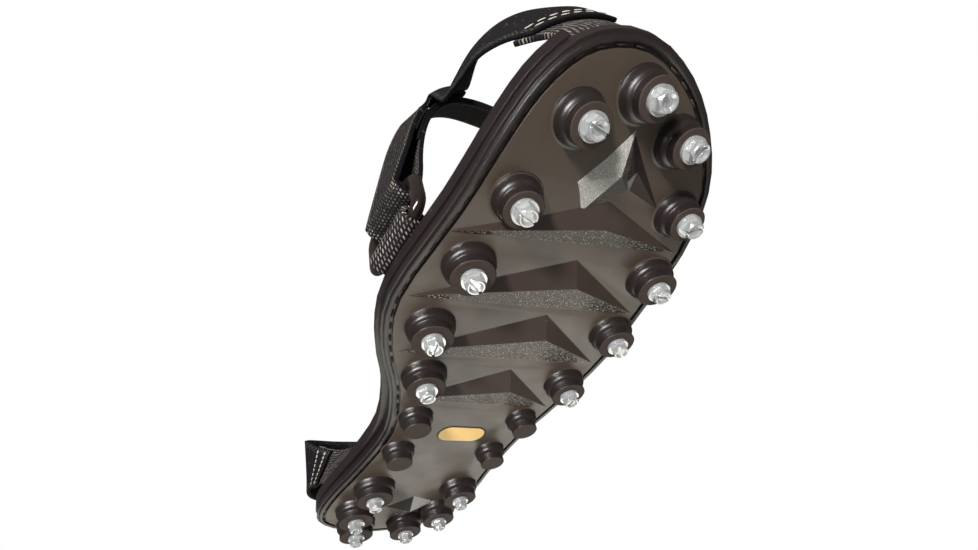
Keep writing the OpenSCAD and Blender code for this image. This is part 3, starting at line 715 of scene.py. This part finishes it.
def tab_path():
    """The free end of the instep strap: up from the fold, then on the loop patch."""
    # Height above the instep strap, what is added to it at the first angle, and the first and last angle
    lie_o, spring, first, last = 4.6, 1.4, 20, 44

    def edge(side, v):
        o = RING_O + FOLD_R - STRAP_T
        run = [in_ring_frame(o, side, BAR_Z + 0.6), in_ring_frame(o - 0.2, side, BAR_Z + 3.6)]
        for a in range(first, last + 1, ARCH_STEP):
            off = lie_o + spring * ((last - a) / (last - first)) ** 2
            run.append(list(INSTEP.at(arch_station(a), v, off)))
        return run

    return StrapPath(edge(RING_HALF, 0.0), edge(-RING_HALF, 1.0), feet=(True, False))


def toe_path():
    """The toe strap: from the toe's rim up and back to its landing on the instep strap."""

    def landing(angle):
        """The last three points of an edge, as shares of the instep strap's width and heights above it."""
        return [list(INSTEP.at(arch_station(angle), v, o)) for v, o in ((0.0, 8.1), (0.3, 6.6), (0.6, 6.6))]

    def edge(spots, angle):
        """An edge through spots given by x, the way back from the toe and the height above the sole."""
        return [[x + SIDE, TOE_Y - back, up + Z_TOP] for x, back, up in spots] + landing(angle)

    outer = [
        (-1, 0.7, 3.7686), (-0.5, 0, 15), (2, 0.5, 25), (6.5, 2, 35), (12, 5, 48),
        (24, 15, 60), (30, 27, 67), (29, 40, 74), (23, 54, 88),
    ]
    inner = [
        (26.5, 9.2, 1.6396), (29, 10.5, 12), (31.5, 13.5, 18), (34.5, 18, 24), (38, 24, 31),
        (41, 32, 37), (41, 42, 44), (39.5, 51, 55), (37.5, 60, 70),
    ]
    return StrapPath(edge(outer, 76), edge(inner, 52), bulge=(3.0, 1.8), feet=(True, False), fine=6)


def heel_path():
    """The heel band: from the inner rim round the back of the heel to the outer rim."""
    # Middle of the band across the sole, and its back behind the end of the heel
    mid, back = -4.25, -11

    def edge(feet, wide, tall, steps, corners):
        """An edge from foot to foot.

        A step is a share of the way out from the foot, a place along and a share of the height.
        A corner is a distance from the middle, a place along and a height.
        """

        def half(foot, s):
            out = mid + s * wide
            run = [[foot + (out - foot) * t + SIDE, HEEL_Y + y, Z_TOP + tall * z] for t, y, z in steps]
            run[0][2] += FOOT_LIFT
            return run + [[mid + s * x + SIDE, HEEL_Y + y, Z_TOP + z] for x, y, z in corners]

        return half(feet[0], 1) + [[mid + SIDE, HEEL_Y + back, Z_TOP + tall]] + half(feet[1], -1)[::-1]

    top = edge(
        (26.7801, -42.0822), 48.5, 57,
        [(0.0, 72, 0.0), (0.08, 68, 0.1), (0.42, 52, 0.22), (0.76, 37, 0.4), (1.0, 22, 0.62)],
        [(46, 5, 47.31), (26, -8, 54.72)],
    )
    low = edge(
        (33.9736, -40.9822), 45.5, 11,
        [(0.0, 34, 0.0), (0.15, 32, 0.4), (0.55, 26, 0.6), (0.9, 19, 0.75), (1.0, 11, 0.85)],
        [(40, 1, 10.12), (23, -8, 10.67)],
    )
    return StrapPath(top, low, feet=(True, True), fine=9)


def loop_path():
    """Webbing from the sole's rim round the lower bar of the ring."""
    radius = 4.1
    run = [(1.18, Z_TOP + FOOT_LIFT), (1.18, Z_TOP + 1.2), (1.58, Z_TOP + 3)]
    for angle in np.arange(175, -115.1, -14.5):
        out, up = on_circle(radius, angle)
        run.append((RING_O + out, LOW_Z + up))
    a, b = [[in_ring_frame(o, side, z) for o, z in run] for side in (RING_HALF, -RING_HALF)]
    return StrapPath(a, b, fine=3)


def lay_strap(path, stations, heights, counts):
    """A strap from a grid laid on its path, with thickness, soft edges and cloth coordinates in metres."""
    bpy.ops.mesh.primitive_grid_add(
        x_subdivisions=counts[0], y_subdivisions=counts[1], size=1, calc_uvs=True
    )
    piece = bpy.context.object
    mesh = piece.data
    flat = corners_of(mesh)
    k = stations[0] + (flat[:, 0] + 0.5) * (stations[1] - stations[0])
    v = flat[:, 1] + 0.5
    spots = path.at(k, v, (heights[0] + heights[1]) / 2)
    mesh.vertices.foreach_set("co", (spots * MM).ravel())

    samples = 200
    ks = np.linspace(stations[0], stations[1], samples)
    middle = path.at(ks, np.full(samples, 0.5), np.zeros(samples))
    run = np.concatenate([[0], np.cumsum(np.linalg.norm(np.diff(middle, axis=0), axis=1))])
    along = np.interp(k, ks, run)
    wide = path.wide(k)
    corners = np.empty(len(mesh.loops), int)
    mesh.loops.foreach_get("vertex_index", corners)
    cloth = np.stack([v * wide, along], 1) * MM
    mesh.uv_layers.active.data.foreach_set("uv", cloth[corners].ravel())
    edge = mesh.attributes.new("edge_mm", "FLOAT", "POINT")
    edge.data.foreach_set("value", (np.minimum(v, 1 - v) * wide).astype(np.float32))
    mesh.update()

    depth = heights[1] - heights[0]
    thick = piece.modifiers.new("Thickness", "SOLIDIFY")
    thick.thickness = depth * MM
    thick.offset = 0
    soft = piece.modifiers.new("Soft edge", "BEVEL")
    soft.width = min(SOFT_W, depth * SOFT_SHARE) * MM
    soft.segments = 2
    soft.limit_method = "ANGLE"
    soft.angle_limit = math.radians(CLOTH_ANGLE)
    select_only(piece)
    for name in ("Thickness", "Soft edge"):
        bpy.ops.object.modifier_apply(modifier=name)
    bpy.ops.object.shade_smooth_by_angle(angle=math.radians(CLOTH_ANGLE))
    return piece


# Seams


def solid_islands(source):
    """The separate solids of a node, in metres.

    Each is a middle, a long direction, a flat direction, and a length, width and depth.
    """
    mesh = NODES[source].data
    keys, same = np.unique(np.round(corners_of(mesh), 6), axis=0, return_inverse=True)
    same = same.ravel()
    owner = list(range(len(keys)))

    def root(i):
        while owner[i] != i:
            owner[i] = owner[owner[i]]
            i = owner[i]
        return i

    for face in mesh.polygons:
        ring = [root(same[i]) for i in face.vertices]
        for other in ring[1:]:
            owner[root(other)] = root(ring[0])
    groups = {}
    for i in range(len(keys)):
        groups.setdefault(root(i), []).append(keys[i])
    found = []
    for points in groups.values():
        points = np.array(points)
        spread = np.linalg.svd(points - points.mean(0), full_matrices=False)[2]
        extent = [np.ptp(points @ d) for d in spread]
        found.append((points.mean(0), spread[0], spread[2], extent))
    return found


def sew(name, source, body, slot, material):
    """Sews the stitches of a node: one rounded stitch, copied to each of its solids and joined."""
    bpy.ops.mesh.primitive_uv_sphere_add(segments=8, ring_count=6, radius=0.5)
    master = bpy.context.object
    co = corners_of(master.data)
    co[:, 2] = np.sign(co[:, 2]) * np.abs(co[:, 2] * 2) ** STITCH_POWER / 2
    bpy.ops.object.shade_smooth()
    copies = []
    for middle, along, flat, extent in solid_islands(source):
        x = unit(np.asarray(along, float))
        z = unit(np.asarray(flat, float) - x * np.dot(flat, x))
        y = np.cross(z, x)
        mesh = master.data.copy()
        spots = middle + np.outer(co[:, 2] * extent[0], x)
        spots = spots + np.outer(co[:, 0] * extent[1], y) + np.outer(co[:, 1] * extent[2], z)
        mesh.vertices.foreach_set("co", spots.ravel())
        mesh.update()
        copy = bpy.data.objects.new(name, mesh)
        bpy.context.scene.collection.objects.link(copy)
        copies.append(copy)
    bpy.data.objects.remove(master)
    select_only(*copies)
    bpy.ops.object.join()
    face_outwards()
    seat(bpy.context.object, name, body, slot, material, source)


# Stage


def lay_floor(rgb):
    """A matt floor under the screws' tips, which the camera sees from above only."""
    bpy.ops.mesh.primitive_plane_add(size=6, location=(0, 0, -0.2 * MM))
    floor = bpy.context.object
    floor.name = "floor"
    paint, tree, shader = new_surface("Floor paint", 0.9)
    shader.inputs["Base Color"].default_value = shade(rgb, 1.0)
    seen = node(tree, "LightPath")["Is Camera Ray"]
    below = node(tree, "NewGeometry")["Backfacing"]
    above = node(tree, "Math", {0: seen, 1: below}, operation="SUBTRACT")["Value"]
    clear = node(tree, "BsdfTransparent")["BSDF"]
    both = node(tree, "MixShader", {0: above, 1: clear, 2: shader.outputs["BSDF"]})
    tree.links.new(both["Shader"], tree.nodes["Material Output"].inputs["Surface"])
    floor.data.materials.append(paint)


def light_world(scene):
    """A pale studio: white to the camera, dim from above, with one bright backdrop for mirrored light."""
    world = bpy.data.worlds.new("Pale studio")
    world.use_nodes = True
    scene.world = world
    sky = world.node_tree
    ray = node(sky, "LightPath")
    way = node(sky, "TexCoord")["Generated"]
    near = node(sky, "VectorMath", {0: way, 1: BACKDROP_WAY}, operation="DOT_PRODUCT")["Value"]
    wall = {"Value": near, "From Min": 0.76, "From Max": 0.92, "To Min": 0.1, "To Max": 1.25}
    backdrop = node(sky, "MapRange", wall, interpolation_type="SMOOTHSTEP")["Result"]
    upward = node(sky, "SeparateXYZ", {0: way})[2]
    fall = {"Value": upward, "From Min": -0.7, "From Max": 0.1, "To Min": 0.68, "To Max": 0.15}
    bounce = node(sky, "MapRange", fall, interpolation_type="SMOOTHSTEP")["Result"]
    either = {0: ray["Is Glossy Ray"], 1: ray["Is Transmission Ray"]}
    mirrored = node(sky, "Math", either, operation="MAXIMUM")["Value"]
    lit = node(sky, "Mix", {0: mirrored, 2: bounce, 3: backdrop})
    level = node(sky, "Mix", {0: ray["Is Camera Ray"], 2: lit[0], 3: 1.0})
    tints = {0: mirrored, 6: (1, 1, 1, 1), 7: (1.0, 0.98, 0.87, 1)}
    tint = node(sky, "Mix", tints, data_type="RGBA")
    background = sky.nodes["Background"]
    sky.links.new(tint[2], background.inputs["Color"])
    sky.links.new(level[0], background.inputs["Strength"])


def lamp(name, spot, aim, power, wide, tall):
    """An area lamp at a spot in metres, turned to what it aims at."""
    bpy.ops.object.light_add(type="AREA", location=spot)
    light = bpy.context.object
    light.name = name
    light.data.energy = power
    light.data.shape = "RECTANGLE"
    light.data.size = wide
    light.data.size_y = tall
    light.rotation_mode = "QUATERNION"
    light.rotation_quaternion = (Vector(aim) - Vector(spot)).to_track_quat("-Z", "Y")
    return light


def set_lamps():
    """A key lamp for shadows, a side lamp for highlights, a weak one below, and a sun for the floor."""
    key = lamp("Key", (0.77, 0.68, -0.27), LAMP_AIM, power=19, wide=0.15, tall=0.15)
    key.visible_glossy = False
    side = lamp("Side", (0.91, 0.54, -0.17), LAMP_AIM, power=12, wide=0.6, tall=0.3)
    side.visible_diffuse = False
    lamp("Under", (-0.46, -0.6, -0.64), (0, 0, 0), power=0.6, wide=0.5, tall=0.5)
    bpy.ops.object.light_add(type="SUN", location=(-0.3, -0.3, 1.3), rotation=(-0.3, 0.25, 0))
    over = bpy.context.object
    over.name = "Over"
    over.data.energy = 3.0
    over.data.angle = 0.4
    over.visible_glossy = False


def set_camera(scene):
    """The photo's view, from below."""
    view = bpy.data.cameras.new("Photo view")
    camera = bpy.data.objects.new("Photo view", view)
    scene.collection.objects.link(camera)
    view.sensor_width = SENSOR_W
    view.lens = FOCAL_PX * SENSOR_W / PHOTO_W
    view.clip_start = 0.005
    right, down, ahead = Vector(CAMERA_RIGHT), Vector(CAMERA_DOWN), Vector(CAMERA_AHEAD)
    turn = Matrix((right, -down, -ahead)).transposed().to_4x4()
    camera.matrix_world = Matrix.Translation(Vector(CAMERA_AT) * MM) @ turn
    scene.camera = camera
    scene.view_settings.view_transform = "Standard"


# Operators


class CLEAT_OT_sole(bpy.types.Operator):
    """Dresses the rubber sole, the midsole wall, the felt footbed and the inlay"""

    bl_idname = "cleat.sole"
    bl_label = "Sole"

    def execute(self, context):
        colours, sizes = context.scene.cleat_colours, context.scene.cleat_sizes
        edge, fine = sizes.edge_round, sizes.fine_grain

        def moulded(name, slot, material, source):
            """Seats a smooth copy of a solid on the sole."""
            return seat(smooth_copy(source, MOULDED_ANGLE), name, "sole", slot, material, source)

        rubber = moulded_rubber("Moulded rubber", colours.rubber, edge, gloss=0.8)
        sole = moulded("rubber_outsole", "rubber", rubber, "outsole")
        for material in (
            moulded_rubber("Grained rubber", colours.dust_and_sheen, edge, grain=sizes.grain, speck=colours.speck),
            worn_rubber("Worn rubber", colours.worn),
            moulded_rubber("Dusty rubber with painted sheen", colours.dust_and_sheen, edge),
            moulded_rubber("Fine-grained rubber", colours.dust_and_sheen, edge, grain=fine, speck=colours.sheen_and_grit),
            # Pale painted sheen, with fine grit
            moulded_rubber("Frosted rubber with painted sheen", colours.sheen_and_grit, edge, grain=fine, speck=colours.speck),
            moulded_rubber("Lug rubber in painted shade", colours.lug, edge),
            moulded_rubber("Bead rubber", colours.rubber, sizes.bead_round, gloss=1.0),
        ):
            sole.data.materials.append(material)
        finish_outsole(sole.data)
        wall = moulded_rubber("Wall rubber", colours.wall, edge)
        felt = pressed_felt("Pressed felt", colours.felt)
        amber = moulded_plastic("Amber inlay", colours.amber, roughness=0.42, mottle=0.06)
        moulded("midsole_wall", "midsole_rubber", wall, "midsole")
        moulded("felt_footbed", "felt", felt, "footbed")
        inlay = moulded("amber_inlay", "amber", amber, "sole_badge")
        outline_below(inlay, wall)
        return {"FINISHED"}


class CLEAT_OT_screws(bpy.types.Operator):
    """Dresses the ice screws"""

    bl_idname = "cleat.screws"
    bl_label = "Ice screws"

    def execute(self, context):
        zinc = zinc_plate("Zinc-plated steel", context.scene.cleat_colours.zinc)
        for group in ("toe", "ball", "heel"):
            source = group + "_screws"
            seat(smooth_copy(source, SCREW_ANGLE), group + "_ice_screws", "sole", "zinc", zinc, source)
        return {"FINISHED"}


class CLEAT_OT_ring(bpy.types.Operator):
    """Models the oval ring at the inner side"""

    bl_idname = "cleat.ring"
    bl_label = "Ring"

    def execute(self, context):
        corner_steps, tube_steps = 9, 20
        # Thickness of the bars and of the ends, radius of the corners, and room beside the straps
        tube, end, corner, room = 5.0, 7.0, 5.0, 0.6
        half_h = (BAR_Z - LOW_Z) / 2
        count = 4 * (corner_steps + 1)
        bpy.ops.mesh.primitive_torus_add(
            major_segments=count, minor_segments=tube_steps, major_radius=1, minor_radius=0.1
        )
        ring = bpy.context.object
        long_half = RING_HALF + room + end / 2 - corner
        tall_half = half_h - corner
        for vert in ring.data.vertices:
            x, y, z = vert.co
            step = round(math.atan2(y, x) / (2 * math.pi) * count) % count
            quarter, part = divmod(step, corner_steps + 1)
            a = math.radians(90 * quarter + 90 * part / corner_steps)
            middle = math.radians(90 * quarter + 45)
            w = math.atan2(math.hypot(x, y) - 1, z)
            r = (tube + (end - tube) * math.cos(a) ** 2) / 2
            reach = corner + r * math.sin(w)
            l = math.copysign(long_half, math.cos(middle)) + reach * math.cos(a)
            up = math.copysign(tall_half, math.sin(middle)) + reach * math.sin(a)
            spot = in_ring_frame(RING_O + tube / 2 * math.cos(w), l, LOW_Z + half_h + up)
            vert.co = Vector(spot) * MM
        face_outwards()
        bpy.ops.object.shade_smooth()
        rgb = context.scene.cleat_colours.ring
        gloss = moulded_plastic("Glossy ring plastic", rgb, roughness=0.16, mottle=0.2, coat=1.0)
        seat(ring, "oval_ring", "ring", "ring", gloss, "instep_ring")
        return {"FINISHED"}


class CLEAT_OT_straps(bpy.types.Operator):
    """Models the toe strap, the instep strap, the heel band and their webbing"""

    bl_idname = "cleat.straps"
    bl_label = "Straps and webbing"

    def execute(self, context):
        colours, sizes = context.scene.cleat_colours, context.scene.cleat_sizes
        webbing = ribbed_webbing("Ribbed webbing", colours.webbing, colours.fleck, sizes)
        cloth = strap_cloth("Strap cloth", colours.strap, colours.fleck, sizes, dotted=(0.25, 0.0))
        dotted = strap_cloth("Dotted strap cloth", colours.strap, colours.fleck, sizes, dotted=(0.8, 0.25))
        loops = strap_cloth("Loop tape", colours.strap, colours.fleck, sizes, pile=True)
        hooks = hook_tape("Hook tape", colours.strap)
        toe, tab, heel, loop = toe_path(), tab_path(), heel_path(), loop_path()

        # Heights above each path: of a strap, of webbing and hooks below one, and of loops on one
        strap = (0.0, STRAP_T)
        web_below = (-LAY - WEB_T, -LAY)
        hooks_below = (-LAY - PATCH_T, -LAY)
        loops_above = (STRAP_T + LAY, STRAP_T + LAY + PATCH_T)
        toe_strap = (-TOE_STRAP_T, 0.0)
        toe_web = (-TOE_STRAP_T - LAY - WEB_T, -TOE_STRAP_T - LAY)
        toe_hooks = (-TOE_STRAP_T - LAY - PATCH_T, -TOE_STRAP_T - LAY)
        loop_web = (-WEB_T / 2, WEB_T / 2)

        # Stations of the toe strap's start on its webbing, of the webbing's end and of the hooks' start,
        # in thirty-thirds of the whole
        toe_end = toe.last()
        toe_seam, toe_lap, toe_patch = (toe_end * part / 33 for part in (7, 10, 27))
        # Stations of the heel band's start on its webbing and of the webbing's end, in forty-seconds
        heel_end = heel.last()
        heel_seam, heel_lap = (heel_end * part / 42 for part in (7, 10))
        strips = (
            ("toe_webbing", "toe", "webbing", webbing, "toe_anchor",
             toe, (0, toe_lap), toe_web, (24, 14)),
            ("toe_strap_cloth", "toe", "strap", cloth, "toe_strap",
             toe, (toe_seam, toe_end), toe_strap, (90, 14)),
            ("toe_hooks", "toe", "hook_patch", hooks, "toe_hook_patch",
             toe, (toe_patch, toe_end), toe_hooks, (24, 14)),
            ("ring_webbing", "sole", "webbing", webbing, "instep_anchor_inner",
             loop, (0, loop.last()), loop_web, (66, 12)),
            ("instep_strap_cloth", "sole", "strap", dotted, "instep_strap",
             INSTEP, (0, arch_station(160)), strap, (190, 12)),
            ("instep_loops", "sole", "loop_patch", loops, "instep_loop_patch",
             INSTEP, (arch_station(24), arch_station(100)), loops_above, (90, 12)),
            ("instep_free_end", "tab", "strap", dotted, "instep_tab",
             tab, (0, tab.last()), strap, (36, 12)),
            ("free_end_hooks", "tab", "hook_patch", hooks, "tab_hook_patch",
             tab, (4, tab.last()), hooks_below, (18, 12)),
            ("outer_webbing", "sole", "webbing", webbing, "instep_anchor_outer",
             INSTEP, (arch_station(148), INSTEP.last()), web_below, (36, 12)),
            ("heel_webbing_inner", "sole", "webbing", webbing, "heel_anchor_inner",
             heel, (0, heel_lap), web_below, (30, 14)),
            ("heel_webbing_outer", "sole", "webbing", webbing, "heel_anchor_outer",
             heel, (heel_end - heel_lap, heel_end), web_below, (30, 14)),
            ("heel_band_cloth", "sole", "strap", cloth, "heel_band",
             heel, (heel_seam, heel_end - heel_seam), strap, (110, 14)),
        )
        for name, body, slot, material, source, *layout in strips:
            seat(lay_strap(*layout), name, body, slot, material, source)
        return {"FINISHED"}


class CLEAT_OT_threads(bpy.types.Operator):
    """Sews the rim seam and the seams of the straps"""

    bl_idname = "cleat.threads"
    bl_label = "Seams"

    def execute(self, context):
        colours = context.scene.cleat_colours
        waxed = twisted_thread("Waxed thread", colours.rim_thread)
        sewing = twisted_thread("Sewing thread", colours.thread)
        jobs = (
            ("rim_seam", "rim_stitching", "sole", "rim_thread", waxed),
            ("toe_seam", "toe_stitching", "toe", "thread", sewing),
            ("instep_seam", "instep_stitching", "sole", "thread", sewing),
            ("heel_seams", "heel_stitching", "sole", "thread", sewing),
        )
        for job in jobs:
            sew(*job)
        return {"FINISHED"}


class CLEAT_OT_stage(bpy.types.Operator):
    """Sets the floor, the light and the camera"""

    bl_idname = "cleat.stage"
    bl_label = "Stage"

    def execute(self, context):
        lay_floor(context.scene.cleat_colours.floor)
        light_world(context.scene)
        set_lamps()
        set_camera(context.scene)
        return {"FINISHED"}


class CLEAT_PT_panel(bpy.types.Panel):
    """Lists the cleat's pieces, colours and sizes"""

    bl_label = "Ice cleat"
    bl_idname = "CLEAT_PT_panel"
    bl_space_type = "VIEW_3D"
    bl_region_type = "UI"
    bl_category = "Cleat"

    def draw(self, context):
        for step in STEPS:
            self.layout.operator(step.bl_idname)
        for group in (context.scene.cleat_colours, context.scene.cleat_sizes):
            for name in group.__annotations__:
                self.layout.prop(group, name)


STEPS = (CLEAT_OT_stage, CLEAT_OT_sole, CLEAT_OT_screws, CLEAT_OT_ring, CLEAT_OT_straps, CLEAT_OT_threads)
CLASSES = (CleatColours, CleatSizes, *STEPS, CLEAT_PT_panel)


def register():
    for item in CLASSES:
        bpy.utils.register_class(item)
    bpy.types.Scene.cleat_colours = bpy.props.PointerProperty(type=CleatColours)
    bpy.types.Scene.cleat_sizes = bpy.props.PointerProperty(type=CleatSizes)


def unregister():
    del bpy.types.Scene.cleat_sizes
    del bpy.types.Scene.cleat_colours
    for item in reversed(CLASSES):
        bpy.utils.unregister_class(item)


def main():
    register()
    bpy.ops.cleat.stage()
    bpy.ops.cleat.sole()
    bpy.ops.cleat.screws()
    bpy.ops.cleat.ring()
    bpy.ops.cleat.straps()
    bpy.ops.cleat.threads()


if __name__ == "__main__":
    main()
